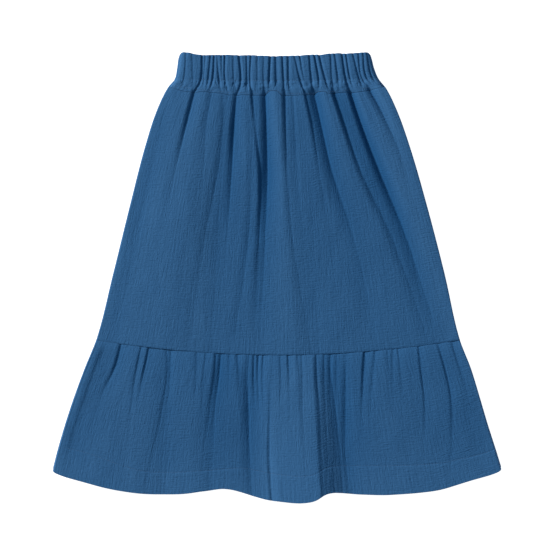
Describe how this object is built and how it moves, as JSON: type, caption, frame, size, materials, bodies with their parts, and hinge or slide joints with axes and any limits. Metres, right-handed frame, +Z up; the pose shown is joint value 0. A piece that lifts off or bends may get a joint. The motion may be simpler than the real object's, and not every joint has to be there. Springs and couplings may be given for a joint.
{
  "type": "skirt",
  "caption": "Child's pull-on skirt laid flat: gathered casing for an elastic waist, flared body panels, and a gathered flounce with a softly waved hem.",
  "frame": {"origin": "on the surface the skirt lies on, at the middle of its width and of its length", "axes": "+X across the skirt to the viewer's right, +Y up towards the waist, +Z up from the surface, through the front"},
  "size_m": [0.5232, 0.5278, 0.0116],
  "materials": {
    "double_gauze": "matt crinkled cotton double gauze in mid blue",
    "casing_gauze": "matt crinkled cotton double gauze in mid blue, gathered over elastic"
  },
  "bodies": {
    "root": {"waistband": "casing_gauze", "front_panel": "double_gauze", "back_panel": "double_gauze", "front_flounce": "double_gauze", "back_flounce": "double_gauze"}
  },
  "joints": []
}
